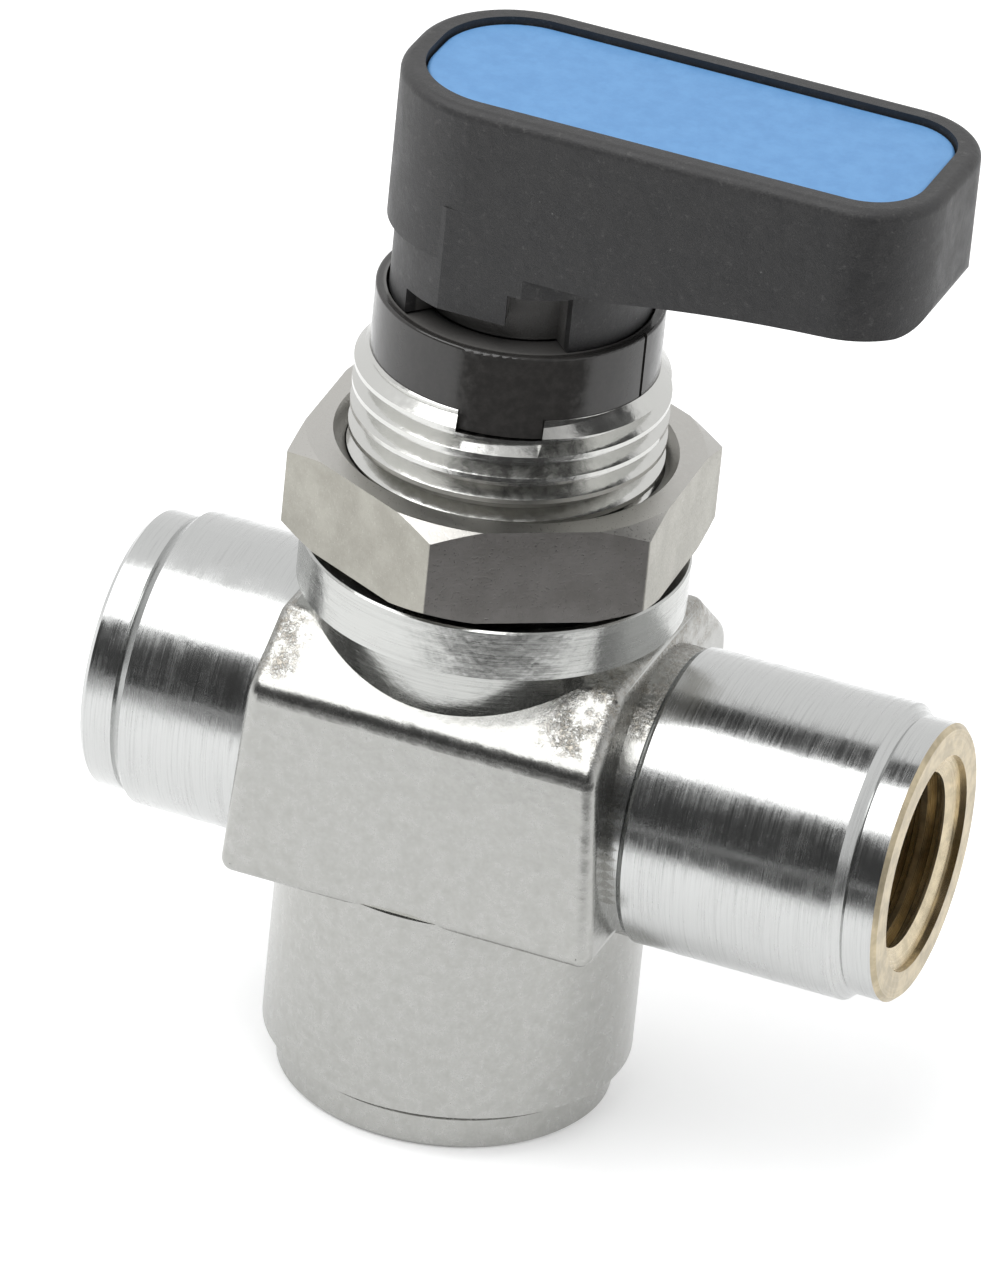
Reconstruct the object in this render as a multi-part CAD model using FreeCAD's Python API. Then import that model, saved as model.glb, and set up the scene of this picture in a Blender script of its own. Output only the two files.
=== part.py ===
"""Three-way panel-mount mini ball valve: forged tee body, screwed end connector, ball, stem, nut and lever.

Frame in millimetres: the origin is the centre of the bottom port's end face, +Z runs up the stem, and +X
points out of the end connector. The lever is modelled pointing along +X, one end of its half turn.
Heights named *_rise are measured up from the axis of the two side ports.
"""

import FreeCAD, Part
import math
import os

# ---- modelling ---------------------------------------------------------------------------------------
REACH = 1.0                  # how far a cutting or joined shape runs past the face it meets
NEAR = 0.01                  # tolerance when an edge is picked by its height

# ---- forged body -------------------------------------------------------------------------------------
PORT_AXIS_Z = 23.8           # height of the side ports' axis above the bottom face
BLOCK_LEFT_X = -12.4
BLOCK_RIGHT_X = 12.9
BLOCK_HALF_DEPTH = 11.7
BLOCK_BOTTOM_RISE = -7.4
BLOCK_SHOULDER_RISE = 6.2    # where the front and back faces turn in towards the collar
BLOCK_TOP_RISE = 10.2
BLOCK_TOP_HALF_DEPTH = 7.2
BLOCK_DRAFT = 1.1            # how much each end leans in between the block's bottom and its top
BLOCK_EDGE_RADIUS = 0.9
SHOULDER_EDGE_RADIUS = 1.8   # along the front and back edges of the shoulder

SIDE_PORT_R = 9.65
SIDE_LIP_R = 9.05
SIDE_LIP_LENGTH = 2.4
LIP_CHAMFER = 0.6
LIP_EDGE = 0.3               # chamfer round each port's end face
LIP_GROOVE_WIDTH = 0.22      # turned groove where a lip begins
LIP_GROOVE_DEPTH = 0.12
LEFT_END_X = -23.5
RIGHT_END_X = 30.5
RIGHT_BOSS_R = 9.4           # turned ring where the end connector meets the block
RIGHT_BOSS_X = 13.3
CONNECTOR_EDGE = 0.4         # chamfer on the end connector's inner edge
BOTTOM_PORT_R = 11.9
BOTTOM_LIP_R = 10.8
BOTTOM_LIP_LENGTH = 2.4
BOTTOM_PORT_OVERLAP = 0.5    # how far the bottom port reaches up into the block

COLLAR_R = 12.35
COLLAR_TOP_RISE = 14.7
COLLAR_EDGE = 0.12
COLLAR_CONE_RISE = 11.35     # below this height the collar narrows, after a small step
COLLAR_STEP = 0.25
COLLAR_FOOT_RISE = 7.0
COLLAR_FOOT_R = 10.35

# ---- threaded neck -----------------------------------------------------------------------------------
NECK_R = 10.0
NECK_TOP_RISE = 28.0
NECK_PITCH = 1.5
NECK_THREAD_DEPTH = 0.85
NECK_THREAD_START_RISE = 15.1
NECK_GROOVE_HALF_WIDTH = 0.6
NECK_ROOT_HALF_WIDTH = 0.1
NECK_GROOVE_OVER = 0.12      # how far the groove's cutter stands out of the neck
NECK_TOP_R = 9.15            # the rim is chamfered down to this radius
KEY_ANGLES = (-74.0, 106.0)  # notches in the rim, seen from above, counted from +X
KEY_WIDTH = 5.2
KEY_DEPTH = 1.4
KEY_GAP = 0.1
KEY_INNER_R = 7.3

# ---- pipe threads of the ports, as closed rings --------------------------------------------------------
PORT_MINOR_R = 5.72
LEFT_PORT_MINOR_R = 5.9      # drilled to the upper end of the thread's tolerance
PORT_MAJOR_R = 6.58
PORT_PITCH = 1.337
PORT_THREAD_LENGTH = 10.5
SIDE_MOUTH_R = 7.04
SIDE_MOUTH_DEPTH = 0.45
SIDE_FIRST_LAND_DEPTH = 0.95
BOTTOM_FIRST_LAND_DEPTH = 0.45
THREAD_GROOVE_HALF_WIDTH = 0.5
THREAD_ROOT_HALF_WIDTH = 0.12
TAP_POINT_LENGTH = 1.4       # cone between the thread's end and the flow bore
FLOW_R = 3.3

# ---- ball, seats and seals -----------------------------------------------------------------------------
BALL_R = 7.2
BALL_SLOT_WIDTH = 3.1
BALL_SLOT_FLOOR_RISE = 4.8
CAVITY_R = 7.6
SEAT_POCKET_R = 6.45
SEAT_BORE_R = 3.6
SEAT_INNER_X = 4.9
SEAT_OUTER_X = 7.3
SEAT_POCKET_X = 8.8
RUNNING_GAP = 0.05
FIT_GAP = 0.02               # between pieces that are pressed or slid together
SEAT_RING_R = 5.5
SEAT_RING_SECTION_R = 0.72

SPIGOT_START_X = 5.3
THREAD_START_X = 8.4
CONNECTOR_THREAD_R = 8.5
GLAND_X = 12.0
GLAND_R = 9.2
GLAND_FLOOR_R = 7.9

# ---- stem ----------------------------------------------------------------------------------------------
STEM_R = 3.5
STEM_TANG_LENGTH = 7.8
STEM_TANG_WIDTH = 3.0
STEM_TANG_RISE = 5.0
STEM_SHOULDER_R = 4.6
STEM_SHOULDER_RISE = 7.7
STEM_SHOULDER_TOP_RISE = 9.3
STEM_CHAMBER_R = 4.9
STEM_CHAMBER_TOP_RISE = 10.1
STEM_GROOVE_RISES = (14.0, 18.5)
STEM_GROOVE_WIDTH = 1.6
STEM_GROOVE_R = 2.4
STEM_RING_R = 2.97
STEM_RING_SECTION_R = 0.56
STEM_DRIVE_RISE = 33.0       # above this the stem is a double-D
STEM_DRIVE_FLAT = 5.0
STEM_TOP_RISE = 40.4
STEM_TAP_R = 1.65
STEM_TAP_DEPTH = 9.0
BUSH_R = 5.2
BUSH_RISE = 24.2

# ---- panel nut -----------------------------------------------------------------------------------------
NUT_ACROSS_FLATS = 24.1
NUT_RISE = 15.3
NUT_HEIGHT = 6.4
NUT_BORE_R = 10.08
NUT_TURN = 32.1              # direction of one corner, counted from +X
NUT_CHAMFER_R = 12.6         # the corners are turned off from this radius out, at 30 degrees
NUT_LEAD = 0.8               # chamfer at each end of the bore
NUT_EDGE_RADIUS = 0.2

# ---- stop ring -----------------------------------------------------------------------------------------
STOP_RING_R = 9.1
STOP_RING_INNER_R = 8.45
STOP_RING_TOP_RISE = 32.3
STOP_RING_FLOOR = 1.0
STOP_RING_HOLE_R = 4.2
STOP_LUG_R = 6.1
STOP_LUG_TOP_RISE = 31.9
STOP_LUG_CENTRE = -90.0
STOP_LUG_SPAN = 89.0
SLIT_ANGLE = -10.0
SLIT_WIDTH = 0.3
SLIT_DEPTH = 0.25
STOP_RING_EDGE_RADIUS = 0.2

# ---- lever handle --------------------------------------------------------------------------------------
HANDLE_LEFT_X = -8.6
HANDLE_RIGHT_X = 27.6
HANDLE_HALF_WIDTH = 7.8
HANDLE_LEFT_CORNER_R = 6.9
HANDLE_RIGHT_CORNER_R = 5.2
HANDLE_TOP_RISE = 47.7
HANDLE_FOOT_RISE = 37.2      # underside beside the hub
HANDLE_TIP_RISE = 38.9       # underside near the tip
HANDLE_TIP_CORNER_R = 1.5
HANDLE_TOP_EDGE_R = 0.7
HANDLE_ARCH = 0.35           # how far the underside bows up between the hub and the tip
HANDLE_WALL = 2.4
HANDLE_RIM = 1.5
HANDLE_FLOOR_RISE = 40.8
HANDLE_RIB_THICKNESS = 1.2
HANDLE_RIB_XS = (12.0, 18.0)
HANDLE_RIB_GAP = 0.2         # between the ribs and the cover's skirt
HUB_R = 8.25
HUB_FOOT_RISE = 32.1
HUB_CORE_R = 5.2
HUB_CORE_FOOT_RISE = 29.15
HANDLE_LUG_FOOT_RISE = 29.15
HANDLE_LUG_CENTRE = 0.0
HANDLE_LUG_SPAN = 89.0
HANDLE_LUG_INNER_R = 5.0
HANDLE_LUG_OUTER_R = 8.15
HUB_RELIEFS = ((-130.0, -77.0, 33.8), (-77.0, -48.0, 35.9))   # from, to, top of each cut in the hub's skirt
HUB_RELIEF_INNER_R = 6.2
BOSS_R = 5.4
BOSS_TOP_RISE = 42.0
COVER_SEAT_RISE = 45.7
COVER_THICKNESS = 1.6
COVER_GAP = 0.12
COVER_EDGE_R = 0.25
COVER_SKIRT_DEPTH = 2.0
COVER_SKIRT_WALL = 1.0

SCREW_R = 1.6
SCREW_CLEARANCE_R = 2.0
SCREW_LENGTH = 8.0
SCREW_HEAD_R = 3.1
SCREW_HEAD_HEIGHT = 2.2
SCREW_HEAD_EDGE_R = 0.6
SCREW_SOCKET_R = 1.6
SCREW_SOCKET_DEPTH = 1.2
WASHER_R = 3.9
WASHER_THICKNESS = 0.6

X = FreeCAD.Vector(1, 0, 0)
Y = FreeCAD.Vector(0, 1, 0)
Z = FreeCAD.Vector(0, 0, 1)
PORT_CENTRE = FreeCAD.Vector(0, 0, PORT_AXIS_Z)


def up(rise):
    """Height in the part's frame of a rise above the side ports' axis."""
    return PORT_AXIS_Z + rise


def disc_z(radius, z0, z1, inner=0.0):
    """Round bar or tube about the stem's axis."""
    solid = Part.makeCylinder(radius, z1 - z0, FreeCAD.Vector(0, 0, z0))
    if inner:
        solid = solid.cut(Part.makeCylinder(inner, z1 - z0, FreeCAD.Vector(0, 0, z0)))
    return solid


def disc_x(radius, x0, x1, inner=0.0):
    """Round bar or tube about the side ports' axis."""
    start = FreeCAD.Vector(x0, 0, PORT_AXIS_Z)
    solid = Part.makeCylinder(radius, x1 - x0, start, X)
    if inner:
        solid = solid.cut(Part.makeCylinder(inner, x1 - x0, start, X))
    return solid


def turned(profile):
    """Solid of revolution about Z from (radius, z) points."""
    points = [FreeCAD.Vector(r, 0, z) for r, z in profile]
    face = Part.Face(Part.makePolygon(points + points[:1]))
    return face.revolve(FreeCAD.Vector(0, 0, 0), Z, 360)


def sector(inner, outer, z0, z1, centre, span):
    """Part of a ring about Z, span degrees wide."""
    half = math.radians(span / 2)
    reach = 2 * outer
    corners = [FreeCAD.Vector(0, 0, z0)]
    for share in (-1, -1 / 3, 1 / 3, 1):
        angle = math.radians(centre) + share * half
        corners.append(FreeCAD.Vector(reach * math.cos(angle), reach * math.sin(angle), z0))
    wedge = Part.Face(Part.makePolygon(corners + corners[:1])).extrude(Z * (z1 - z0))
    return disc_z(outer, z0, z1, inner).common(wedge)


def hexagon(corner_r, turn, z0, height):
    """Six-sided prism about Z with one corner in the direction turn, in degrees."""
    angles = [math.radians(turn + 60 * k) for k in range(7)]
    points = [FreeCAD.Vector(corner_r * math.cos(a), corner_r * math.sin(a), z0) for a in angles]
    return Part.Face(Part.makePolygon(points)).extrude(Z * height)


def aimed_box(angle, r0, r1, width, z0, z1):
    """Box that points away from the stem's axis in one direction."""
    box = Part.makeBox(r1 - r0, width, z1 - z0, FreeCAD.Vector(r0, -width / 2, z0))
    box.rotate(FreeCAD.Vector(0, 0, 0), Z, angle)
    return box


def outer_port(body_r, lip_r, lip_length, length, root_edge=0.0):
    """Outside of a port along +Z from its root at z = 0, with a turned groove at the start of its lip."""
    step = length - lip_length
    groove = step + LIP_GROOVE_WIDTH
    start = [(0, 0), (body_r - root_edge, 0), (body_r, root_edge)] if root_edge else [(0, 0), (body_r, 0)]
    return turned(start + [
        (body_r, step - LIP_CHAMFER), (lip_r, step), (lip_r - LIP_GROOVE_DEPTH, step + LIP_GROOVE_WIDTH / 2),
        (lip_r, groove), (lip_r, length - LIP_EDGE), (lip_r - LIP_EDGE, length), (0, length)])


def threaded_bore(depth, minor_r, mouth, first_land_depth):
    """Hollow of a pipe thread whose mouth is at z = 0 and which runs down to z = -depth.

    mouth lists the (radius, z) points of its wall there, and the first land of the thread comes below them.
    """
    profile = [(0, 0)] + mouth + [(minor_r, -first_land_depth)]
    z = -first_land_depth - PORT_PITCH / 2
    while z > -PORT_THREAD_LENGTH + PORT_PITCH / 2:
        profile += [(minor_r, z + THREAD_GROOVE_HALF_WIDTH), (PORT_MAJOR_R, z + THREAD_ROOT_HALF_WIDTH),
                    (PORT_MAJOR_R, z - THREAD_ROOT_HALF_WIDTH), (minor_r, z - THREAD_GROOVE_HALF_WIDTH)]
        z -= PORT_PITCH
    profile += [(minor_r, -PORT_THREAD_LENGTH), (FLOW_R, -PORT_THREAD_LENGTH - TAP_POINT_LENGTH),
                (FLOW_R, -depth), (0, -depth)]
    return turned(profile)


def side_bore(depth, minor_r):
    """Hollow of a side port, whose mouth is bored out before the thread begins."""
    mouth = [(SIDE_MOUTH_R, 0), (SIDE_MOUTH_R, -SIDE_MOUTH_DEPTH)]
    return threaded_bore(depth, minor_r, mouth, SIDE_FIRST_LAND_DEPTH)


def aim(solid, direction, place):
    """Turns a solid made along +Z to a direction, then moves its origin to a place."""
    turn = FreeCAD.Rotation(Z, direction)
    moved = solid.copy()
    moved.Placement = FreeCAD.Placement(place, turn)
    return moved


def stadium(x0, x1, half_width, left_r, right_r, z):
    """Outline of the lever seen from above, inset versions of which make its walls and cover."""
    arc = math.sqrt(0.5)
    p = [FreeCAD.Vector(x, y, z) for x, y in (
        (x0 + left_r, -half_width), (x1 - right_r, -half_width),
        (x1, -half_width + right_r), (x1, half_width - right_r),
        (x1 - right_r, half_width), (x0 + left_r, half_width),
        (x0, half_width - left_r), (x0, -half_width + left_r))]
    mid = [FreeCAD.Vector(cx + sx * r * arc, sy * (half_width - r + r * arc), z) for cx, r, sx, sy in (
        (x1 - right_r, right_r, 1, -1), (x1 - right_r, right_r, 1, 1),
        (x0 + left_r, left_r, -1, 1), (x0 + left_r, left_r, -1, -1))]
    edges = [Part.LineSegment(p[0], p[1]), Part.Arc(p[1], mid[0], p[2]), Part.LineSegment(p[2], p[3]),
             Part.Arc(p[3], mid[1], p[4]), Part.LineSegment(p[4], p[5]), Part.Arc(p[5], mid[2], p[6]),
             Part.LineSegment(p[6], p[7]), Part.Arc(p[7], mid[3], p[0])]
    return Part.Wire([e.toShape() for e in edges])


def lever_prism(inset, z0, z1):
    """Upright prism of the lever's outline, moved in by inset."""
    wire = stadium(HANDLE_LEFT_X + inset, HANDLE_RIGHT_X - inset, HANDLE_HALF_WIDTH - inset,
                   HANDLE_LEFT_CORNER_R - inset, HANDLE_RIGHT_CORNER_R - inset, z0)
    return Part.Face(wire).extrude(Z * (z1 - z0))


def block():
    """Forged block: a long bar with sloping, rounded shoulders, its ends leaning in, and rounded edges."""
    bottom, top = up(BLOCK_BOTTOM_RISE), up(BLOCK_TOP_RISE)
    shoulder = up(BLOCK_SHOULDER_RISE)
    d, t = BLOCK_HALF_DEPTH, BLOCK_TOP_HALF_DEPTH
    x0, x1 = BLOCK_LEFT_X, BLOCK_RIGHT_X
    r = SHOULDER_EDGE_RADIUS
    turn = math.atan2(d - t, top - shoulder)
    tangent = r * math.tan(turn / 2)

    def at(y, z):
        return FreeCAD.Vector(x0 - REACH, y, z)

    def shoulder_arc(side):
        """The rounded shoulder at the front (side -1) or back (side 1), from its foot to its top."""
        start = at(side * d, shoulder - tangent)
        end = at(side * (d - tangent * math.sin(turn)), shoulder + tangent * math.cos(turn))
        middle = at(side * (d - r + r * math.cos(turn / 2)), shoulder - tangent + r * math.sin(turn / 2))
        return start, middle, end

    front, back = shoulder_arc(-1), shoulder_arc(1)
    edges = [Part.LineSegment(at(-d, bottom), at(d, bottom)), Part.LineSegment(at(d, bottom), back[0]),
             Part.Arc(*back), Part.LineSegment(back[2], at(t, top)),
             Part.LineSegment(at(t, top), at(-t, top)), Part.LineSegment(at(-t, top), front[2]),
             Part.Arc(front[2], front[1], front[0]), Part.LineSegment(front[0], at(-d, bottom))]
    bar = Part.Face(Part.Wire([e.toShape() for e in edges])).extrude(X * (x1 - x0 + 2 * REACH))
    side = [(x0, bottom), (x1, bottom), (x1 - BLOCK_DRAFT, top), (x0 + BLOCK_DRAFT, top)]
    points = [FreeCAD.Vector(x, -d - REACH, z) for x, z in side]
    solid = bar.common(Part.Face(Part.makePolygon(points + points[:1])).extrude(Y * 2 * (d + REACH)))

    def smooth(edge):
        """True for the long edges where a rounded shoulder runs into the flat faces beside it."""
        heights = [abs(edge.BoundBox.ZMin - p.z) for p in (front[0], front[2])]
        return edge.BoundBox.XLength > d and min(heights) < NEAR

    return solid.makeFillet(BLOCK_EDGE_RADIUS, [e for e in solid.Edges if not smooth(e)])


def neck_thread_groove():
    """Helical groove of the neck's thread, longer than the neck at both ends."""
    start = up(COLLAR_TOP_RISE) - NECK_PITCH
    height = NECK_TOP_RISE - COLLAR_TOP_RISE + 2 * NECK_PITCH
    helix = Part.makeHelix(NECK_PITCH, height, NECK_R)
    helix.translate(FreeCAD.Vector(0, 0, start))
    root = NECK_R - NECK_THREAD_DEPTH
    over = NECK_R + NECK_GROOVE_OVER
    flat = NECK_ROOT_HALF_WIDTH
    wide = flat + (NECK_GROOVE_HALF_WIDTH - flat) * (over - root) / NECK_THREAD_DEPTH
    corners = [(root, start - flat), (root, start + flat), (over, start + wide), (over, start - wide)]
    points = [FreeCAD.Vector(r, 0, z) for r, z in corners]
    profile = Part.makePolygon(points + points[:1])
    return Part.Wire(helix).makePipeShell([profile], True, True)


def valve_body():
    left_length = -LEFT_END_X
    left_port = aim(outer_port(SIDE_PORT_R, SIDE_LIP_R, SIDE_LIP_LENGTH, left_length), -X, PORT_CENTRE)
    bottom_root = up(BLOCK_BOTTOM_RISE) + BOTTOM_PORT_OVERLAP
    bottom_port = aim(outer_port(BOTTOM_PORT_R, BOTTOM_LIP_R, BOTTOM_LIP_LENGTH, bottom_root), -Z,
                      Z * bottom_root)
    right_boss = disc_x(RIGHT_BOSS_R, 0, RIGHT_BOSS_X)
    collar = turned([(0, up(0)), (COLLAR_FOOT_R, up(0)), (COLLAR_FOOT_R, up(COLLAR_FOOT_RISE)),
                     (COLLAR_R - COLLAR_STEP, up(COLLAR_CONE_RISE) - COLLAR_STEP / 2),
                     (COLLAR_R, up(COLLAR_CONE_RISE)), (COLLAR_R, up(COLLAR_TOP_RISE) - COLLAR_EDGE),
                     (COLLAR_R - COLLAR_EDGE, up(COLLAR_TOP_RISE)), (0, up(COLLAR_TOP_RISE))])
    rim = NECK_R - NECK_TOP_R
    neck = turned([(0, up(0)), (NECK_R, up(0)), (NECK_R, up(NECK_TOP_RISE) - rim),
                   (NECK_TOP_R, up(NECK_TOP_RISE)), (0, up(NECK_TOP_RISE))])
    threaded = disc_z(NECK_R + REACH, up(NECK_THREAD_START_RISE), up(NECK_TOP_RISE) + REACH)
    neck = neck.cut(neck_thread_groove().common(threaded))
    solid = block().fuse([left_port, bottom_port, right_boss, collar, neck])

    left_bore = aim(side_bore(left_length, LEFT_PORT_MINOR_R), -X, FreeCAD.Vector(LEFT_END_X, 0, PORT_AXIS_Z))
    bottom_mouth = [(PORT_MAJOR_R, 0)]
    bottom_bore = aim(threaded_bore(PORT_AXIS_Z, PORT_MINOR_R, bottom_mouth, BOTTOM_FIRST_LAND_DEPTH), -Z,
                      FreeCAD.Vector(0, 0, 0))
    cuts = [left_bore, bottom_bore,
            disc_x(SEAT_POCKET_R, -SEAT_POCKET_X, 0),
            disc_x(CAVITY_R, -SPIGOT_START_X, THREAD_START_X),
            disc_x(CONNECTOR_THREAD_R, THREAD_START_X, RIGHT_BOSS_X),
            disc_x(GLAND_R, GLAND_X, RIGHT_BOSS_X),
            disc_z(STEM_CHAMBER_R, up(0), up(STEM_CHAMBER_TOP_RISE)),
            disc_z(STEM_R + RUNNING_GAP, up(0), up(NECK_TOP_RISE)),
            disc_z(BUSH_R, up(BUSH_RISE), up(NECK_TOP_RISE))]
    for angle in KEY_ANGLES:
        cuts.append(aimed_box(angle, KEY_INNER_R, NECK_R + REACH, KEY_WIDTH + 2 * KEY_GAP,
                              up(NECK_TOP_RISE) - KEY_DEPTH, up(NECK_TOP_RISE) + REACH))
    return solid.cut(cuts).removeSplitter()


def end_connector():
    length = RIGHT_END_X - RIGHT_BOSS_X
    outside = aim(outer_port(SIDE_PORT_R, SIDE_LIP_R, SIDE_LIP_LENGTH, length, CONNECTOR_EDGE), X,
                  FreeCAD.Vector(RIGHT_BOSS_X, 0, PORT_AXIS_Z))
    spigot = disc_x(CAVITY_R, SPIGOT_START_X, THREAD_START_X)
    screwed = disc_x(CONNECTOR_THREAD_R, THREAD_START_X, GLAND_X)
    gland = disc_x(GLAND_FLOOR_R, GLAND_X, RIGHT_BOSS_X)
    solid = outside.fuse([spigot, screwed, gland])
    depth = RIGHT_END_X - SEAT_OUTER_X
    bore = aim(side_bore(depth, PORT_MINOR_R), X, FreeCAD.Vector(RIGHT_END_X, 0, PORT_AXIS_Z))
    return solid.cut([bore, disc_x(SEAT_POCKET_R, 0, SEAT_POCKET_X)]).removeSplitter()


def ball():
    solid = Part.makeSphere(BALL_R, PORT_CENTRE)
    to_side = disc_x(FLOW_R, 0, BALL_R + REACH)
    to_bottom = disc_z(FLOW_R, up(-BALL_R - REACH), up(0))
    elbow = Part.makeSphere(FLOW_R, PORT_CENTRE)
    slot = Part.makeBox(2 * BALL_R, BALL_SLOT_WIDTH, BALL_R,
                        FreeCAD.Vector(-BALL_R, -BALL_SLOT_WIDTH / 2, up(BALL_SLOT_FLOOR_RISE)))
    return solid.cut([to_side, to_bottom, elbow, slot])


def seat(side):
    """Seat ring on the right (side 1) or left (side -1) of the ball."""
    x0, x1 = sorted((side * SEAT_INNER_X, side * SEAT_OUTER_X))
    ring = disc_x(SEAT_POCKET_R - FIT_GAP, x0, x1, SEAT_BORE_R)
    return ring.cut(Part.makeSphere(BALL_R + RUNNING_GAP, PORT_CENTRE))


def seat_o_ring(side):
    x = side * (SEAT_OUTER_X + SEAT_RING_SECTION_R + FIT_GAP)
    return Part.makeTorus(SEAT_RING_R, SEAT_RING_SECTION_R, FreeCAD.Vector(x, 0, PORT_AXIS_Z), X)


def end_connector_o_ring():
    section = (GLAND_R - GLAND_FLOOR_R - FIT_GAP) / 2
    middle = (GLAND_R + GLAND_FLOOR_R) / 2
    x = (GLAND_X + RIGHT_BOSS_X) / 2
    return Part.makeTorus(middle, section, FreeCAD.Vector(x, 0, PORT_AXIS_Z), X)


def stem():
    shoulder = disc_z(STEM_SHOULDER_R, up(STEM_SHOULDER_RISE), up(STEM_SHOULDER_TOP_RISE))
    tang = Part.makeBox(STEM_TANG_LENGTH, STEM_TANG_WIDTH, STEM_SHOULDER_RISE - STEM_TANG_RISE,
                        FreeCAD.Vector(-STEM_TANG_LENGTH / 2, -STEM_TANG_WIDTH / 2, up(STEM_TANG_RISE)))
    shaft = disc_z(STEM_R, up(STEM_SHOULDER_TOP_RISE), up(STEM_DRIVE_RISE))
    drive = disc_z(STEM_R, up(STEM_DRIVE_RISE), up(STEM_TOP_RISE))
    height = STEM_TOP_RISE - STEM_DRIVE_RISE
    flats = Part.makeBox(2 * STEM_R, STEM_DRIVE_FLAT, height,
                         FreeCAD.Vector(-STEM_R, -STEM_DRIVE_FLAT / 2, up(STEM_DRIVE_RISE)))
    solid = shaft.fuse([shoulder, tang, drive.common(flats)])
    cuts = [disc_z(STEM_TAP_R, up(STEM_TOP_RISE - STEM_TAP_DEPTH), up(STEM_TOP_RISE))]
    for rise in STEM_GROOVE_RISES:
        cuts.append(disc_z(STEM_R + REACH, up(rise), up(rise + STEM_GROOVE_WIDTH), STEM_GROOVE_R))
    return solid.cut(cuts).removeSplitter()


def stem_o_ring(rise):
    centre = FreeCAD.Vector(0, 0, up(rise + STEM_GROOVE_WIDTH / 2))
    return Part.makeTorus(STEM_RING_R, STEM_RING_SECTION_R, centre, Z)


def stem_thrust_washer():
    z0, z1 = up(STEM_SHOULDER_TOP_RISE + RUNNING_GAP), up(STEM_CHAMBER_TOP_RISE)
    return disc_z(STEM_CHAMBER_R - RUNNING_GAP, z0, z1, STEM_R + RUNNING_GAP)


def stem_bush():
    return disc_z(BUSH_R, up(BUSH_RISE), up(NECK_TOP_RISE), STEM_R + RUNNING_GAP)


def panel_nut():
    corner_r = NUT_ACROSS_FLATS / 2 / math.cos(math.pi / 6)
    z0, z1 = up(NUT_RISE), up(NUT_RISE + NUT_HEIGHT)
    blank = hexagon(corner_r, NUT_TURN, z0, NUT_HEIGHT)
    reach = corner_r + REACH
    drop = (reach - NUT_CHAMFER_R) * math.tan(math.pi / 6)
    turned_off = turned([(0, z0), (NUT_CHAMFER_R, z0), (reach, z0 + drop), (reach, z1 - drop),
                         (NUT_CHAMFER_R, z1), (0, z1)])
    bore = turned([(0, z0), (NUT_BORE_R + NUT_LEAD, z0), (NUT_BORE_R, z0 + NUT_LEAD),
                   (NUT_BORE_R, z1 - NUT_LEAD), (NUT_BORE_R + NUT_LEAD, z1), (0, z1)])
    corners = [e for e in blank.Edges if e.BoundBox.ZLength > NEAR]
    return blank.makeFillet(NUT_EDGE_RADIUS, corners).common(turned_off).cut(bore)


def stop_ring():
    z0, z1 = up(NECK_TOP_RISE), up(STOP_RING_TOP_RISE)
    outside = disc_z(STOP_RING_R, z0, z1)
    top_edge = [e for e in outside.Edges if e.BoundBox.ZMin > z1 - NEAR]
    wall = outside.makeFillet(STOP_RING_EDGE_RADIUS, top_edge).cut(disc_z(STOP_RING_INNER_R, z0, z1))
    floor = disc_z(STOP_RING_R, z0, z0 + STOP_RING_FLOOR, STOP_RING_HOLE_R)
    lug = sector(STOP_LUG_R, STOP_RING_R, z0, up(STOP_LUG_TOP_RISE), STOP_LUG_CENTRE, STOP_LUG_SPAN)
    solid = wall.fuse([floor, lug])
    for angle in KEY_ANGLES:
        foot, head = z0 - KEY_DEPTH + KEY_GAP, z0 + STOP_RING_FLOOR / 2
        key = aimed_box(angle, KEY_INNER_R + KEY_GAP, STOP_RING_R + REACH, KEY_WIDTH, foot, head)
        solid = solid.fuse(key.common(disc_z(STOP_RING_R, foot, head)))
    slit = aimed_box(SLIT_ANGLE, STOP_RING_R - SLIT_DEPTH, STOP_RING_R + REACH, SLIT_WIDTH,
                     z0 - REACH, z1 + REACH)
    return solid.cut(slit).removeSplitter()


def handle_outside():
    """Lever with its arched underside, before the hub is added."""
    prism = lever_prism(0, up(HANDLE_FOOT_RISE) - REACH, up(HANDLE_TOP_RISE))
    x0, x1 = HANDLE_LEFT_X - REACH, HANDLE_RIGHT_X
    foot, tip, top = up(HANDLE_FOOT_RISE), up(HANDLE_TIP_RISE), up(HANDLE_TOP_RISE)
    r = HANDLE_TIP_CORNER_R
    y = -HANDLE_HALF_WIDTH - REACH

    def at(x, z):
        return FreeCAD.Vector(x, y, z)

    arch_start, arch_end = at(HUB_R, foot), at(x1 - r, tip)
    arch_mid = at((HUB_R + x1 - r) / 2, (foot + tip) / 2 + HANDLE_ARCH)
    turn = r * (1 - math.sqrt(0.5))
    edges = [Part.LineSegment(at(x0, top), at(x0, foot)), Part.LineSegment(at(x0, foot), arch_start),
             Part.Arc(arch_start, arch_mid, arch_end),
             Part.Arc(arch_end, at(x1 - turn, tip + turn), at(x1, tip + r)),
             Part.LineSegment(at(x1, tip + r), at(x1, top)), Part.LineSegment(at(x1, top), at(x0, top))]
    side = Part.Face(Part.Wire([e.toShape() for e in edges])).extrude(Y * 2 * (HANDLE_HALF_WIDTH + REACH))
    solid = prism.common(side)
    rim = [e for e in solid.Edges if e.BoundBox.ZMin > top - NEAR]
    return solid.makeFillet(HANDLE_TOP_EDGE_R, rim)


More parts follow.
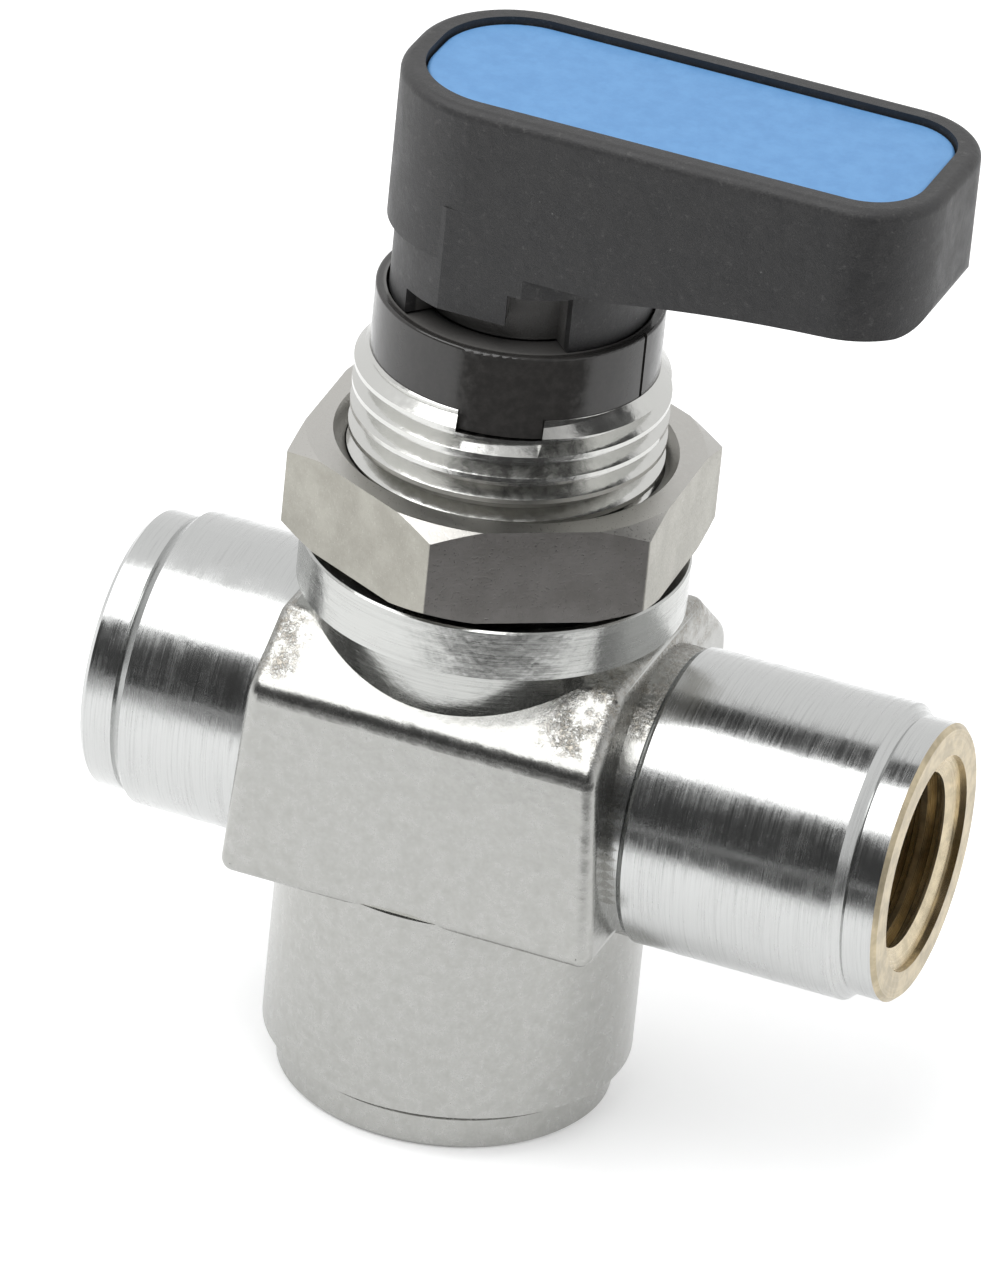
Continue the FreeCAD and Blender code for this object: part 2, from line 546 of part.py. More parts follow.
def handle():
    flats = Part.makeBox(4 * HUB_R, 2 * HANDLE_HALF_WIDTH, HANDLE_TOP_RISE - HUB_CORE_FOOT_RISE,
                         FreeCAD.Vector(-2 * HUB_R, -HANDLE_HALF_WIDTH, up(HUB_CORE_FOOT_RISE)))
    hub = disc_z(HUB_R, up(HUB_FOOT_RISE), up(HANDLE_FLOOR_RISE)).common(flats)
    core = disc_z(HUB_CORE_R, up(HUB_CORE_FOOT_RISE), up(HANDLE_FLOOR_RISE))
    lug = sector(HANDLE_LUG_INNER_R, HANDLE_LUG_OUTER_R, up(HANDLE_LUG_FOOT_RISE), up(HUB_FOOT_RISE) + REACH,
                 HANDLE_LUG_CENTRE, HANDLE_LUG_SPAN)
    solid = handle_outside().fuse([hub, core, lug.common(flats)])
    hollow = lever_prism(HANDLE_WALL, up(HANDLE_FLOOR_RISE), up(HANDLE_TOP_RISE))
    boss = disc_z(BOSS_R, up(HANDLE_FLOOR_RISE), up(BOSS_TOP_RISE))
    hollow = hollow.cut(boss)
    rib_top = COVER_SEAT_RISE - COVER_SKIRT_DEPTH - HANDLE_RIB_GAP
    for x in HANDLE_RIB_XS:
        hollow = hollow.cut(Part.makeBox(HANDLE_RIB_THICKNESS, 2 * HANDLE_HALF_WIDTH,
                                         rib_top - HANDLE_FLOOR_RISE,
                                         FreeCAD.Vector(x, -HANDLE_HALF_WIDTH, up(HANDLE_FLOOR_RISE))))
    seat_for_cover = lever_prism(HANDLE_RIM, up(COVER_SEAT_RISE), up(HANDLE_TOP_RISE) + REACH)
    socket = disc_z(STEM_R + FIT_GAP, up(HUB_CORE_FOOT_RISE), up(STEM_DRIVE_RISE))
    drive_height = STEM_TOP_RISE - STEM_DRIVE_RISE
    drive = disc_z(STEM_R + FIT_GAP, up(STEM_DRIVE_RISE), up(STEM_TOP_RISE)).common(
        Part.makeBox(4 * STEM_R, STEM_DRIVE_FLAT + 2 * FIT_GAP, drive_height,
                     FreeCAD.Vector(-2 * STEM_R, -STEM_DRIVE_FLAT / 2 - FIT_GAP, up(STEM_DRIVE_RISE))))
    screw_hole = disc_z(SCREW_CLEARANCE_R, up(STEM_TOP_RISE) - REACH, up(HANDLE_TOP_RISE))
    cuts = [hollow, seat_for_cover, socket, drive, screw_hole]
    for start, end, top in HUB_RELIEFS:
        cuts.append(sector(HUB_RELIEF_INNER_R, HUB_R + REACH, up(HUB_FOOT_RISE) - REACH, up(top),
                           (start + end) / 2, end - start))
    return solid.cut(cuts).removeSplitter()


def handle_cover():
    z0 = up(COVER_SEAT_RISE)
    plate = lever_prism(HANDLE_RIM + COVER_GAP, z0, z0 + COVER_THICKNESS)
    top_edges = [e for e in plate.Edges if e.BoundBox.ZMin > z0 + COVER_THICKNESS - NEAR]
    plate = plate.makeFillet(COVER_EDGE_R, top_edges)
    inset = HANDLE_WALL + COVER_GAP
    skirt = lever_prism(inset, z0 - COVER_SKIRT_DEPTH, z0).cut(
        lever_prism(inset + COVER_SKIRT_WALL, z0 - COVER_SKIRT_DEPTH, z0))
    return plate.fuse(skirt).removeSplitter()


def handle_washer():
    z0 = up(BOSS_TOP_RISE)
    return disc_z(WASHER_R, z0, z0 + WASHER_THICKNESS, SCREW_CLEARANCE_R)


def handle_screw():
    z0 = up(BOSS_TOP_RISE) + WASHER_THICKNESS
    shank = disc_z(SCREW_R, z0 - SCREW_LENGTH, z0)
    head = disc_z(SCREW_HEAD_R, z0, z0 + SCREW_HEAD_HEIGHT)
    head = head.makeFillet(SCREW_HEAD_EDGE_R, [e for e in head.Edges if e.BoundBox.ZMin > z0 + NEAR])
    socket = hexagon(SCREW_SOCKET_R, 0, z0 + SCREW_HEAD_HEIGHT - SCREW_SOCKET_DEPTH, SCREW_SOCKET_DEPTH)
    return shank.fuse(head).cut(socket)


def save(name, shape):
    """Writes one node and reports its volume and whether it is sound."""
    print(f"{name:24s} {len(shape.Solids)} solid(s) {shape.Volume:10.2f} mm3 valid={shape.isValid()}")
    shape.exportStep(f"parts/{name}.step")


os.makedirs("parts", exist_ok=True)
save("valve_body", valve_body())
save("end_connector", end_connector())
save("end_connector_o_ring", end_connector_o_ring())
save("ball", ball())
save("seat_right", seat(1))
save("seat_left", seat(-1))
save("seat_o_ring_right", seat_o_ring(1))
save("seat_o_ring_left", seat_o_ring(-1))
save("stem", stem())
save("stem_o_ring_lower", stem_o_ring(STEM_GROOVE_RISES[0]))
save("stem_o_ring_upper", stem_o_ring(STEM_GROOVE_RISES[1]))
save("stem_thrust_washer", stem_thrust_washer())
save("stem_bush", stem_bush())
save("panel_nut", panel_nut())
save("stop_ring", stop_ring())
save("handle", handle())
save("handle_cover", handle_cover())
save("handle_washer", handle_washer())
save("handle_screw", handle_screw())
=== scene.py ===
"""Looks of the three-way panel-mount ball valve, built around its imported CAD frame.

Every CAD node keeps its mesh and gets procedural materials, which also carry the small marks of moulding,
machining and wear. Lengths are metres; names that end in _MM are millimetres.
"""

import math

import bpy
from mathutils import Matrix, Vector


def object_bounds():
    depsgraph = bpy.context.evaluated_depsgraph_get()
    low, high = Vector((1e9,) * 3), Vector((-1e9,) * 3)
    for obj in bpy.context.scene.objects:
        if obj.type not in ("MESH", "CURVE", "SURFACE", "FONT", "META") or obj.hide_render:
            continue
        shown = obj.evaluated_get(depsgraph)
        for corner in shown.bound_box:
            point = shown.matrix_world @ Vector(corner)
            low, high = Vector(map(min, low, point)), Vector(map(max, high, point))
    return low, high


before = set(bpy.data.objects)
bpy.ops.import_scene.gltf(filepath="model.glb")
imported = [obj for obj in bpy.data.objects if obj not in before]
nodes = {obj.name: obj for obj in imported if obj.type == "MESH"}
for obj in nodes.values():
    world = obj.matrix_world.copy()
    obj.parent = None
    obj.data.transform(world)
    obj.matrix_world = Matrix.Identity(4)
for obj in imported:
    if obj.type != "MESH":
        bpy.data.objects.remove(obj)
cad_low, cad_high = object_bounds()
scene = bpy.context.scene

MM = 0.001

# ---- camera values -------------------------------------------------------------------------------------
VIEW_AZIMUTH = math.radians(19.0)
VIEW_ELEVATION = math.radians(29.085)
VIEW_ROLL = math.radians(5.781)
VIEW_DISTANCE = 0.87624
VIEW_OFFSET = Vector((-0.00322, 0.0, -0.00462))   # the aim point, from the centre of the CAD box
LENS_MM = 391.4
SENSOR_MM = 36.0
CLIP_NEAR, CLIP_FAR = 0.05, 50.0

# ---- places on the valve, in the row frame -------------------------------------------------------------
PORT_AXIS = 0.0238
PORT_BORE_RADIUS = 0.0072
PORT_ROOT_RADIUS = 0.0101    # a side port's outside lies within this
FLOW_HALF = 0.004            # the crossing of the bores, where the ports' bores end
BLOCK_LEFT = -0.0125
BLOCK_RIGHT = 0.0129
BLOCK_BOTTOM = 0.0164
CONNECTOR_ROOT = 0.0132      # left of this the connector is hidden in the block
END_EDGE = 0.0004            # how far from a port's end its bare brass may reach
END_FACING = 0.9             # how squarely a face has to look along the axis to be an end face
LIP_FACING = 0.3             # the same for the connector, whose brass wraps its edge
COLLAR_FOOT = 0.0308
COLLAR_FOOT_RADIUS = 0.01035
COLLAR_WIDE = 0.03515
COLLAR_RADIUS = 0.01235
COLLAR_TOP = 0.0385
STEM_BORE_RADIUS = 0.0055
SLACK = 0.0001               # room for the rounding of the mesh at a boundary between finishes
SHOULDER_MM = 30.0           # where the block's faces turn in towards the collar
NUT_BOTTOM_MM = 39.1
HUB_SKIRT_RADIUS_MM = 7.6
HUB_SKIRT_TOP_MM = 60.2
RING_WALL_RADIUS_MM = 8.7

# ---- studio values -------------------------------------------------------------------------------------
FLOOR_HALF = 5.0
FLOOR_GLOW = 0.33            # the floor is a light table, which keeps its shadows faint
CARD_DIRECTION = math.radians(-62.0)
CARD_SPREAD = math.radians(52.0)
CARD_SOFT = math.radians(6.0)
CARD_NEAR, CARD_FAR = 0.05, 0.6
CARD_LIFT = 0.0005
CARD_START_MM = 60.0
CARD_FADE_MM = 18.0
FRONT = Vector((-0.05, -1.0, 0.28)).normalized()
FRONT_EDGE = (0.0, 0.85)
SURROUND_LIGHT = 1.0
FRONT_LIGHT = 0.05
KEY_PLACE = (-0.14, -0.20, 0.50)
KEY_AIM = (0, 0.02, 0.03)
KEY_WIDTH, KEY_HEIGHT = 0.60, 0.36
KEY_WATTS = 2.3

# Painted light: the colour that lightens the dark gap between the hub and the stop ring.
PAINTED_GAP_FILL = (0.115, 0.112, 0.108)


# ---- materials -----------------------------------------------------------------------------------------
class Look:
    """One procedural material: a Principled shader, and short calls that build the nodes in front of it.

    Coordinates are the object's own, in millimetres, so a pattern keeps its real size and moves with its body.
    """

    def __init__(self, name, metallic=0.0):
        self.material = bpy.data.materials.new(name)
        self.material.use_nodes = True
        self.tree = self.material.node_tree
        self.tree.nodes.clear()
        output = self.node("ShaderNodeOutputMaterial")
        self.shader = self.node("ShaderNodeBsdfPrincipled")
        self.tree.links.new(self.shader.outputs["BSDF"], output.inputs["Surface"])
        self.set("Metallic", metallic)
        place = self.node("ShaderNodeTexCoord").outputs["Object"]
        self.mm = self.vector("SCALE", place, scale=1 / MM)
        split = self.node("ShaderNodeSeparateXYZ", Vector=self.mm)
        self.x, self.y, self.z = split.outputs[:3]

    def node(self, kind, **inputs):
        made = self.tree.nodes.new(kind)
        for name, value in inputs.items():
            self.plug(made.inputs[name.replace("_", " ")], value)
        return made

    def plug(self, socket, value):
        if isinstance(value, bpy.types.NodeSocket):
            self.tree.links.new(value, socket)
        else:
            socket.default_value = value

    def set(self, socket, value):
        self.plug(self.shader.inputs[socket], value)

    def math(self, operation, a, b=0.0, c=0.0, clamp=False):
        made = self.node("ShaderNodeMath")
        made.operation = operation
        made.use_clamp = clamp
        for socket, value in zip(made.inputs, (a, b, c)):
            self.plug(socket, value)
        return made.outputs[0]

    def vector(self, operation, a, b=None, scale=None):
        made = self.node("ShaderNodeVectorMath")
        made.operation = operation
        self.plug(made.inputs[0], a)
        if b is not None:
            self.plug(made.inputs[1], b)
        if scale is not None:
            self.plug(made.inputs["Scale"], scale)
        return made.outputs["Vector"]

    def join(self, x, y, z):
        return self.node("ShaderNodeCombineXYZ", X=x, Y=y, Z=z).outputs[0]

    def noise(self, size_mm, detail=3.0, rough=0.55, place=None, stretch=None):
        """Noise from 0 to 1 whose blobs are about size_mm across."""
        place = self.mm if place is None else place
        if stretch is not None:
            place = self.vector("MULTIPLY", place, stretch)
        made = self.node("ShaderNodeTexNoise", Vector=place, Scale=1 / size_mm, Detail=detail, Roughness=rough)
        return made.outputs[0]

    def spots(self, size_mm):
        """Distance to scattered points, about 0 at a point and up to 1 between them."""
        made = self.node("ShaderNodeTexVoronoi", Vector=self.mm, Scale=1 / size_mm)
        return made.outputs["Distance"]

    def ramp(self, value, start, end, low=0.0, high=1.0):
        """Smooth step of a value from low at start to high at end."""
        made = self.node("ShaderNodeMapRange", Value=value)
        made.interpolation_type = "SMOOTHSTEP"
        made.inputs["From Min"].default_value = start
        made.inputs["From Max"].default_value = end
        made.inputs["To Min"].default_value = low
        made.inputs["To Max"].default_value = high
        return made.outputs[0]

    def blend(self, share, a, b):
        """Colour a where share is 0 and colour b where it is 1."""
        made = self.node("ShaderNodeMix")
        made.data_type = "RGBA"
        self.plug(made.inputs["Factor"], share)
        self.plug(made.inputs[6], a if isinstance(a, bpy.types.NodeSocket) else (*a, 1.0))
        self.plug(made.inputs[7], b if isinstance(b, bpy.types.NodeSocket) else (*b, 1.0))
        return made.outputs[2]

    def bump(self, height, depth_mm, below=None):
        """Surface relief: height from 0 to 1 stands for depth_mm."""
        made = self.node("ShaderNodeBump", Height=height, Strength=1.0, Distance=depth_mm * MM)
        if below is not None:
            self.plug(made.inputs["Normal"], below)
        self.set("Normal", made.outputs[0])
        return made.outputs[0]

    def radius_about_port(self):
        drop = self.math("SUBTRACT", self.z, PORT_AXIS / MM)
        return self.length_of(self.y, drop)

    def radius_about_stem(self):
        return self.length_of(self.x, self.y)

    def length_of(self, a, b):
        squares = self.math("ADD", self.math("MULTIPLY", a, a), self.math("MULTIPLY", b, b))
        return self.math("SQRT", squares)

    def paint_gap_light(self, base, radius_mm, top_mm, gap_fill):
        """Base colour lightened inside the dark gap between hub and ring, as painted light: within a radius of
        the stem's axis, and below a height.
        """
        inside = self.ramp(self.radius_about_stem(), radius_mm - 0.2, radius_mm, 1.0, 0.0)
        low = self.ramp(self.z, top_mm - 0.6, top_mm, 1.0, 0.0)
        return self.blend(self.math("MULTIPLY", inside, low), base, gap_fill)


def forged_chrome():
    """Plating over the forging: a soft orange peel, a few pits, and frosted patches by the collar."""
    look = Look("forged_chrome", metallic=1.0)
    mottle = look.noise(0.8, detail=8.0, rough=0.85)
    ends = look.ramp(look.math("ABSOLUTE", look.math("ADD", look.x, 0.5)), 7.0, 9.5)
    frost = look.ramp(look.noise(1.3, detail=4.0, rough=0.65), 0.3, 0.62)
    frost = look.math("MULTIPLY", frost, look.ramp(look.z, SHOULDER_MM + 0.3, SHOULDER_MM + 1.2))
    frost = look.math("MULTIPLY", frost, ends)
    grain = look.noise(0.45, detail=4.0, rough=0.6)
    wave = look.noise(2.0, detail=2.0, rough=0.5)
    below = look.bump(wave, 0.06)
    below = look.bump(grain, 0.012, below)
    crackle = look.math("MULTIPLY", look.ramp(look.noise(0.3, detail=3.0, rough=0.8), 0.36, 0.64), frost)
    below = look.bump(crackle, 0.03, below)
    pits = look.ramp(look.spots(3.1), 0.0, 0.075, 1.0, 0.0)
    pits = look.math("MULTIPLY", pits, look.ramp(look.noise(4.0), 0.55, 0.6))
    look.bump(look.math("SUBTRACT", 1.0, pits), 0.06, below)
    look.set("Roughness", look.ramp(mottle, 0.3, 0.7, 0.23, 0.29))
    tint = look.blend(look.ramp(mottle, 0.3, 0.7), (0.36, 0.36, 0.342), (0.44, 0.44, 0.427))
    tint = look.blend(look.math("MULTIPLY", crackle, 0.65), tint, (0.23, 0.20, 0.155))
    look.set("Base Color", look.blend(pits, tint, (0.13, 0.12, 0.11)))
    return look.material


def turned_chrome(name, along, colour, smear):
    """Bright turned plating with fine rings round the port's or the collar's axis, and waves smear mm deep."""
    look = Look(name, metallic=1.0)
    stretch = [0.12, 0.12, 0.12]
    stretch[along] = 8.0
    rings = look.noise(1.0, detail=4.0, rough=0.75, stretch=tuple(stretch))
    cloud = look.noise(1.8, detail=4.0, rough=0.6)
    smooth = look.ramp(rings, 0.3, 0.7, 0.13, 0.26)
    look.set("Roughness", look.math("ADD", smooth, look.ramp(cloud, 0.4, 0.7, 0.0, 0.07)))
    below = look.bump(rings, 0.004)
    look.bump(look.noise(2.0, detail=3.0), smear, below)
    dull = tuple(0.85 * c for c in colour)
    look.set("Base Color", look.blend(look.ramp(rings, 0.45, 0.75), colour, dull))
    return look.material


def thread_chrome():
    """Plating on the neck's thread, darker below the nut as painted shade."""
    look = Look("thread_chrome", metallic=1.0)
    mottle = look.noise(0.6, detail=3.0)
    look.set("Roughness", look.ramp(mottle, 0.3, 0.7, 0.12, 0.24))
    look.bump(mottle, 0.012)
    # Painted shade: the thread in the gap below the nut is painted darker.
    painted_shade_under_nut = look.ramp(look.z, NUT_BOTTOM_MM - 0.1, NUT_BOTTOM_MM + 0.2, 1.0, 0.0)
    look.set("Base Color", look.blend(painted_shade_under_nut, (0.6, 0.6, 0.58), (0.42, 0.41, 0.40)))
    return look.material


def bare_brass(name, shade=1.0, smooth=0.3):
    """Machined brass where the plating has been cut away, with turning rings and tarnish."""
    colour = (0.70 * shade, 0.60 * shade, 0.42 * shade)
    look = Look(name, metallic=1.0)
    radius = look.radius_about_port()
    rings = look.noise(0.12, detail=2.0, place=look.join(radius, 0.0, 0.0))
    cloud = look.noise(1.4, detail=4.0, rough=0.65)
    look.set("Base Color", look.blend(look.ramp(cloud, 0.35, 0.65), colour, tuple(c * 0.72 for c in colour)))
    look.set("Roughness", look.ramp(rings, 0.3, 0.7, smooth, smooth + 0.14))
    look.bump(rings, 0.006)
    return look.material


def tumbled_nickel():
    """The nut: dull nickel plating with fine random scratches, with painted shade on every other flat and a
    painted highlight on its top faces.
    """
    look = Look("tumbled_nickel", metallic=1.0)
    grain = look.noise(0.16, detail=5.0, rough=0.75)
    cloud = look.noise(2.6, detail=4.0, rough=0.65)
    scratch = look.noise(0.5, detail=3.0, rough=0.7, stretch=(0.35, 0.35, 4.0))
    # The flats are coloured by the way they face: every other flat, the front one among them, is painted
    # darker as painted shade, and the others lighter as painted light.
    facing = look.node("ShaderNodeSeparateXYZ", Vector=look.node("ShaderNodeTexCoord").outputs["Normal"])
    nx, ny = facing.outputs[0], facing.outputs[1]
    along_y = look.math("MULTIPLY", look.math("MULTIPLY", ny, ny), 3.0)
    squares = look.math("SUBTRACT", look.math("MULTIPLY", nx, nx), along_y)
    lit_flat_share = look.ramp(look.math("MULTIPLY", nx, squares), -1.0, 1.0)
    painted_shade_flat_tone = look.blend(look.ramp(cloud, 0.3, 0.7), (0.225, 0.215, 0.205), (0.27, 0.26, 0.25))
    painted_lit_flat_tone = look.blend(look.ramp(cloud, 0.3, 0.7), (0.31, 0.30, 0.265), (0.38, 0.37, 0.33))
    # Faces that look up are painted lighter: a painted highlight on the top of the nut.
    painted_top_highlight = look.ramp(facing.outputs[2], 0.3, 0.9)
    look.set("Base Color", look.blend(painted_top_highlight, look.blend(lit_flat_share, painted_shade_flat_tone, painted_lit_flat_tone), (0.50, 0.49, 0.465)))
    look.set("Roughness", look.ramp(grain, 0.3, 0.7, 0.26, 0.44))
    below = look.bump(grain, 0.014)
    look.bump(scratch, 0.004, below)
    return look.material


def ring_plastic():
    """Glossy black nylon of the stop ring."""
    look = Look("ring_plastic")
    mottle = look.noise(0.6, detail=5.0, rough=0.65)
    look.set("Roughness", look.ramp(mottle, 0.35, 0.75, 0.1, 0.26))
    base = look.blend(look.ramp(mottle, 0.3, 0.8), (0.026, 0.025, 0.024), (0.036, 0.034, 0.032))
    # The ring's inner wall is painted lighter, as painted light in the gap round the hub.
    look.set("Base Color", look.paint_gap_light(base, RING_WALL_RADIUS_MM, HUB_SKIRT_TOP_MM, PAINTED_GAP_FILL))
    look.bump(look.noise(1.6, detail=3.0), 0.02)
    return look.material


def handle_plastic():
    """Fine-grained black moulded plastic with faint scuffs and light flecks."""
    look = Look("handle_plastic")
    grain = look.noise(0.1, detail=3.0, rough=0.7)
    cloud = look.noise(1.6, detail=6.0, rough=0.7)
    scuff = look.ramp(look.noise(0.6, detail=5.0, rough=0.8), 0.55, 0.7)
    fleck = look.ramp(look.spots(1.7), 0.0, 0.055, 1.0, 0.0)
    base = look.blend(look.ramp(cloud, 0.32, 0.68), (0.027, 0.027, 0.028), (0.043, 0.042, 0.042))
    base = look.blend(look.ramp(grain, 0.3, 0.7), (0.022, 0.022, 0.023), base)
    base = look.blend(look.math("MULTIPLY", scuff, 0.5), base, (0.095, 0.093, 0.09))
    fleck = look.math("MULTIPLY", fleck, 0.5)
    # The hub skirt inside the ring is painted lighter, as painted light in the gap.
    base = look.paint_gap_light(base, HUB_SKIRT_RADIUS_MM, HUB_SKIRT_TOP_MM, PAINTED_GAP_FILL)
    look.set("Base Color", look.blend(look.math("MULTIPLY", fleck, 0.8), base, (0.30, 0.30, 0.29)))
    look.set("Roughness", look.ramp(cloud, 0.3, 0.7, 0.42, 0.55))
    below = look.bump(grain, 0.03)
    look.bump(look.noise(0.7, detail=5.0), 0.05, below)
    return look.material


def cover_plastic():
    """Satin blue insert with a fine grain and slight sink marks."""
    look = Look("cover_plastic")
    cloud = look.noise(1.3, detail=6.0, rough=0.7)
    look.set("Base Color", look.blend(look.ramp(cloud, 0.3, 0.7), (0.095, 0.26, 0.525), (0.13, 0.31, 0.585)))
    look.set("Roughness", look.ramp(cloud, 0.3, 0.7, 0.44, 0.56))
    below = look.bump(look.noise(0.12, detail=2.0), 0.008)
    look.bump(look.noise(1.4, detail=4.0), 0.02, below)
    return look.material


def plain_finish(name, colour, metallic, smooth, rough, grain_mm=0.3, depth_mm=0.004):
    """Finish for pieces inside the valve: one colour with a little variation in gloss and relief."""
    look = Look(name, metallic=metallic)
    grain = look.noise(grain_mm, detail=3.0)
    look.set("Base Color", look.blend(look.ramp(grain, 0.3, 0.7), tuple(0.9 * c for c in colour), colour))
    look.set("Roughness", look.ramp(grain, 0.3, 0.7, smooth, rough))
    look.bump(grain, depth_mm)
    return look.material


def give(node, *materials):
    """Puts materials in a CAD node's slots."""
    mesh = nodes[node].data
    mesh.materials.clear()
    for material in materials:
        mesh.materials.append(material)


def share_out(node, rule):
    """Gives each face of a CAD node the slot that rule(centre, normal) returns."""
    for face in nodes[node].data.polygons:
        face.material_index = rule(face.center, face.normal)


def around_port(p):
    return math.hypot(p.y, p.z - PORT_AXIS)


def around_stem(p):
    return math.hypot(p.x, p.y)


FORGED, TURNED, COLLAR, THREAD, BRASS, BORE = range(6)


def body_slot(p, n):
    """Which finish a face of the valve body has."""
    r_port, r_stem = around_port(p), around_stem(p)
    if r_port < PORT_BORE_RADIUS and abs(p.x) > FLOW_HALF:
        return BORE
    if p.x < BLOCK_LEFT:
        return BRASS if p.x < cad_low.x + END_EDGE and n.x < -END_FACING else TURNED
    if p.x > BLOCK_RIGHT and r_port < PORT_ROOT_RADIUS:
        return TURNED
    if p.z < BLOCK_BOTTOM:
        if r_stem < PORT_BORE_RADIUS:
            return BORE
        return BRASS if p.z < END_EDGE and n.z < -END_FACING else FORGED
    if p.z > COLLAR_TOP + SLACK:
        return BORE if r_stem < STEM_BORE_RADIUS else THREAD
    rise = min(max((p.z - COLLAR_FOOT) / (COLLAR_WIDE - COLLAR_FOOT), 0), 1)
    collar_radius = COLLAR_FOOT_RADIUS + rise * (COLLAR_RADIUS - COLLAR_FOOT_RADIUS)
    if p.z > COLLAR_FOOT and r_stem < collar_radius + 2 * SLACK:
        return COLLAR
    return FORGED


CONNECTOR_TURNED, CONNECTOR_BRASS, CONNECTOR_BORE = range(3)


def connector_slot(p, n):
    """Which finish a face of the end connector has."""
    if p.x < CONNECTOR_ROOT or around_port(p) < PORT_BORE_RADIUS:
        return CONNECTOR_BORE
    return CONNECTOR_BRASS if p.x > cad_high.x - END_EDGE and n.x > LIP_FACING else CONNECTOR_TURNED


turned_port = turned_chrome("turned_port", 0, (0.55, 0.556, 0.55), smear=0.014)
turned_collar = turned_chrome("turned_collar", 2, (0.52, 0.525, 0.51), smear=0.05)
brass_face = bare_brass("brass_face", 0.82)
# The bore's brass is painted lighter than the end faces' brass, as painted light in the dark bore.
lightened_bore_brass = bare_brass("lightened_bore_brass", 0.95, 0.22)
give("valve_body", forged_chrome(), turned_port, turned_collar, thread_chrome(), brass_face, lightened_bore_brass)
share_out("valve_body", body_slot)
give("end_connector", turned_port, brass_face, lightened_bore_brass)
share_out("end_connector", connector_slot)
give("panel_nut", tumbled_nickel())
give("stop_ring", ring_plastic())
give("handle", handle_plastic())
give("handle_cover", cover_plastic())
give("ball", plain_finish("ball_chrome", (0.66, 0.66, 0.65), 1.0, 0.06, 0.12))
give("stem", plain_finish("stem_brass", (0.72, 0.56, 0.30), 1.0, 0.22, 0.36))
seat_plastic = plain_finish("seat_plastic", (0.78, 0.78, 0.75), 0.0, 0.42, 0.55)
for name in ("seat_left", "seat_right", "stem_thrust_washer", "stem_bush"):
    give(name, seat_plastic)
seal_rubber = plain_finish("seal_rubber", (0.02, 0.02, 0.02), 0.0, 0.45, 0.6)
for name in ("end_connector_o_ring", "seat_o_ring_left", "seat_o_ring_right", "stem_o_ring_lower",
             "stem_o_ring_upper"):
    give(name, seal_rubber)
screw_steel = plain_finish("screw_steel", (0.56, 0.56, 0.57), 1.0, 0.24, 0.4)
give("handle_screw", screw_steel)
give("handle_washer", screw_steel)


# ---- floor ---------------------------------------------------------------------------------------------
def sheet(name, x0, x1, half_width):
    """Flat rectangle at z = 0 from x0 to x1, half_width wide to each side of the X axis."""
    corners = [(x0, -half_width, 0), (x1, -half_width, 0), (x1, half_width, 0), (x0, half_width, 0)]
    mesh = bpy.data.meshes.new(name)
    mesh.from_pydata(corners, [], [(0, 1, 2, 3)])
    made = bpy.data.objects.new(name, mesh)
    scene.collection.objects.link(made)
    return made


def floor():
    made = sheet("floor", -FLOOR_HALF, FLOOR_HALF, FLOOR_HALF)
    look = Look("floor_paper")
    look.set("Roughness", 0.9)
    look.set("Specular IOR Level", 0.1)
    tint = look.noise(40.0, detail=3.0)
    look.set("Base Color", look.blend(tint, (0.895, 0.898, 0.90), (0.905, 0.908, 0.91)))
    look.set("Emission Color", (1.0, 1.0, 1.0, 1.0))
    look.set("Emission Strength", FLOOR_GLOW)
    made.data.materials.append(look.material)


def dark_card():
    """Black card lying in front, which only reflections see: it stands for the dark room round the camera."""
    made = sheet("dark_card", CARD_NEAR, CARD_FAR, CARD_FAR * math.tan(CARD_SPREAD + CARD_SOFT))
    made.location = (0, 0, CARD_LIFT)
    made.rotation_euler = (0, 0, CARD_DIRECTION)
    made.visible_camera = False
    made.visible_diffuse = False
    made.visible_shadow = False
    look = Look("card_black")
    look.set("Base Color", (0.03, 0.03, 0.03, 1.0))
    look.set("Roughness", 0.9)
    slant = look.math("ARCTAN2", look.math("ABSOLUTE", look.y), look.x)
    cover = look.ramp(look.x, CARD_START_MM, CARD_START_MM + CARD_FADE_MM)
    sides = look.ramp(slant, CARD_SPREAD - CARD_SOFT, CARD_SPREAD + CARD_SOFT, 1.0, 0.0)
    look.set("Alpha", look.math("MULTIPLY", cover, sides))
    look.bump(look.noise(5.0), 0.1)
    made.data.materials.append(look.material)


# ---- light ---------------------------------------------------------------------------------------------
def softbox(name, place, aim, width, height, watts):
    """Rectangular lamp at place that faces aim."""
    lamp = bpy.data.lights.new(name, "AREA")
    lamp.shape = "RECTANGLE"
    lamp.size = width
    lamp.size_y = height
    lamp.energy = watts
    made = bpy.data.objects.new(name, lamp)
    made.location = place
    made.rotation_euler = (Vector(aim) - Vector(place)).to_track_quat("-Z", "Y").to_euler()
    scene.collection.objects.link(made)


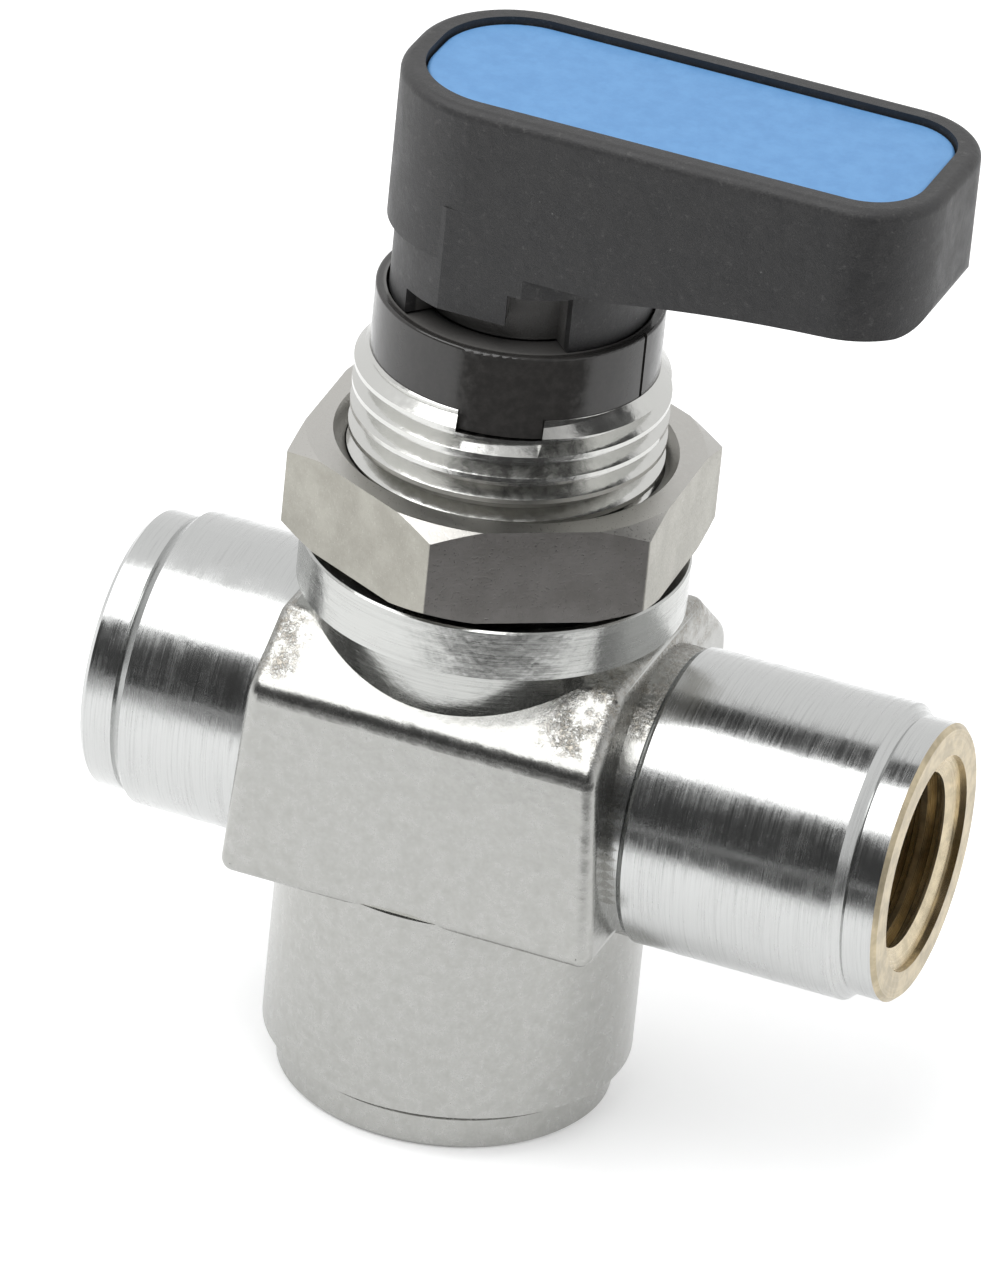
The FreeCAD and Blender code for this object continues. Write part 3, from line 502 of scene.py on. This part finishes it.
def studio_world():
    """White surroundings with a dim room in front, which gives the chrome its dark bands."""
    world = bpy.data.worlds.new("studio")
    world.use_nodes = True
    tree = world.node_tree
    tree.nodes.clear()
    output = tree.nodes.new("ShaderNodeOutputWorld")
    background = tree.nodes.new("ShaderNodeBackground")
    place = tree.nodes.new("ShaderNodeTexCoord").outputs["Generated"]
    front = tree.nodes.new("ShaderNodeVectorMath")
    front.operation = "DOT_PRODUCT"
    front.inputs[1].default_value = (FRONT.x, FRONT.y, FRONT.z)
    ramp = tree.nodes.new("ShaderNodeMapRange")
    ramp.interpolation_type = "SMOOTHSTEP"
    ramp.inputs["From Min"].default_value = FRONT_EDGE[0]
    ramp.inputs["From Max"].default_value = FRONT_EDGE[1]
    ramp.inputs["To Min"].default_value = SURROUND_LIGHT
    ramp.inputs["To Max"].default_value = FRONT_LIGHT
    tree.links.new(place, front.inputs[0])
    tree.links.new(front.outputs["Value"], ramp.inputs["Value"])
    tree.links.new(ramp.outputs[0], background.inputs["Strength"])
    tree.links.new(background.outputs[0], output.inputs["Surface"])
    background.inputs["Color"].default_value = (1.0, 1.0, 1.0, 1.0)
    scene.world = world


floor()
dark_card()
studio_world()
softbox("key", KEY_PLACE, KEY_AIM, KEY_WIDTH, KEY_HEIGHT, KEY_WATTS)


# ---- camera --------------------------------------------------------------------------------------------
def camera():
    az, el = VIEW_AZIMUTH, VIEW_ELEVATION
    back = Vector((math.sin(az) * math.cos(el), -math.cos(az) * math.cos(el), math.sin(el)))
    side = Vector((math.cos(az), math.sin(az), 0.0))
    above = back.cross(side)
    right = side * math.cos(VIEW_ROLL) + above * math.sin(VIEW_ROLL)
    up = above * math.cos(VIEW_ROLL) - side * math.sin(VIEW_ROLL)
    place = (cad_low + cad_high) / 2 + VIEW_OFFSET + back * VIEW_DISTANCE
    data = bpy.data.cameras.new("camera")
    data.sensor_width = SENSOR_MM
    data.lens = LENS_MM
    data.clip_start = CLIP_NEAR
    data.clip_end = CLIP_FAR
    made = bpy.data.objects.new("camera", data)
    turn = Matrix((right, up, back)).transposed().to_4x4()
    made.matrix_world = Matrix.Translation(place) @ turn
    scene.collection.objects.link(made)
    scene.camera = made


camera()
scene.view_settings.view_transform = "Standard"
